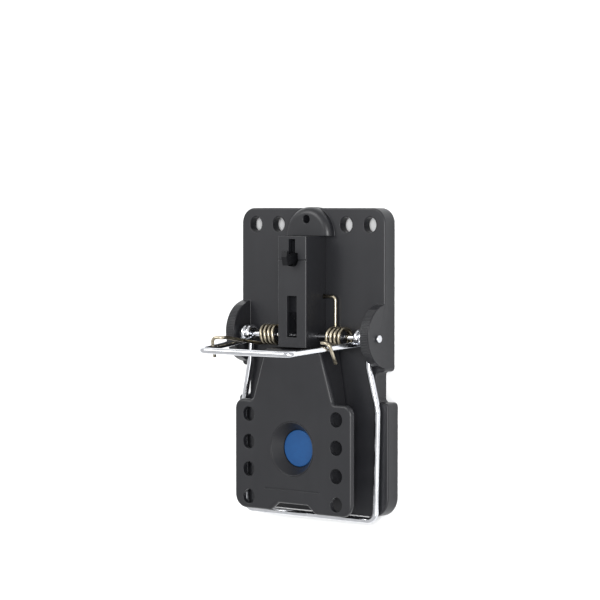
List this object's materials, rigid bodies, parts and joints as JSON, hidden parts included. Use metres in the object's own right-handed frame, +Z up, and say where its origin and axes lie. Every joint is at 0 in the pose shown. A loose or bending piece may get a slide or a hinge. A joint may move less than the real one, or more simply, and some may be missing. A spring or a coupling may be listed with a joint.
{
  "type": "snap trap",
  "caption": "Snap trap, closed: moulded base, hinged treadle with a bait cup, and a wire kill bow and setting bow turned together by torsion springs on a cross axle.",
  "frame": {"origin": "middle of the closed trap's outer box, on the surface that it lies on", "axes": "+Z up, +Y to the rear where the row of holes is, X along the axle"},
  "size_m": [0.087, 0.1418, 0.0569],
  "materials": {
    "black_moulding": "satin black moulded plastic",
    "bright_wire": "bright drawn steel wire",
    "yellow_spring": "yellow zinc plated spring steel",
    "blue_attractant": "matt blue attractant paste, set firm"
  },
  "bodies": {
    "base": {"base_tray": "black_moulding", "catch_housing": "black_moulding", "axle_rod": "bright_wire", "axle_cap_left": "bright_wire", "axle_cap_right": "bright_wire", "axle_washer_left": "black_moulding", "axle_washer_right": "black_moulding", "spring_bush_left": "black_moulding", "spring_bush_right": "black_moulding", "spring_left": "yellow_spring", "spring_right": "yellow_spring", "treadle_pin": "bright_wire", "catch_pin": "bright_wire"},
    "bows": {"kill_bow": "bright_wire", "setting_bow": "bright_wire"},
    "treadle": {"treadle_deck": "black_moulding", "trip_arm": "black_moulding", "bait_cup": "black_moulding", "attractant_pad": "blue_attractant"},
    "catch": {"catch_lever": "black_moulding"}
  },
  "joints": [
    {"name": "bow_swing", "type": "hinge", "parent": "base", "child": "bows", "pos_m": [0, 0.01239, 0.0126], "axis": [-1, 0, 0], "range_deg": [0, 82.6], "stiffness_Nm_per_rad": 1.6, "springref_deg": -8.59, "deforming": ["spring_left", "spring_right"]},
    {"name": "treadle_lift", "type": "hinge", "parent": "base", "child": "treadle", "pos_m": [0, 0.00339, 0.0112], "axis": [-1, 0, 0], "range_deg": [0, 2]},
    {"name": "catch_turn", "type": "hinge", "parent": "base", "child": "catch", "pos_m": [0, 0.04979, 0.011], "axis": [-1, 0, 0], "range_deg": [0, 14]}
  ],
  "couplings": [
    {"joint": "catch_turn", "follows": "treadle_lift", "ratio": 7}
  ]
}
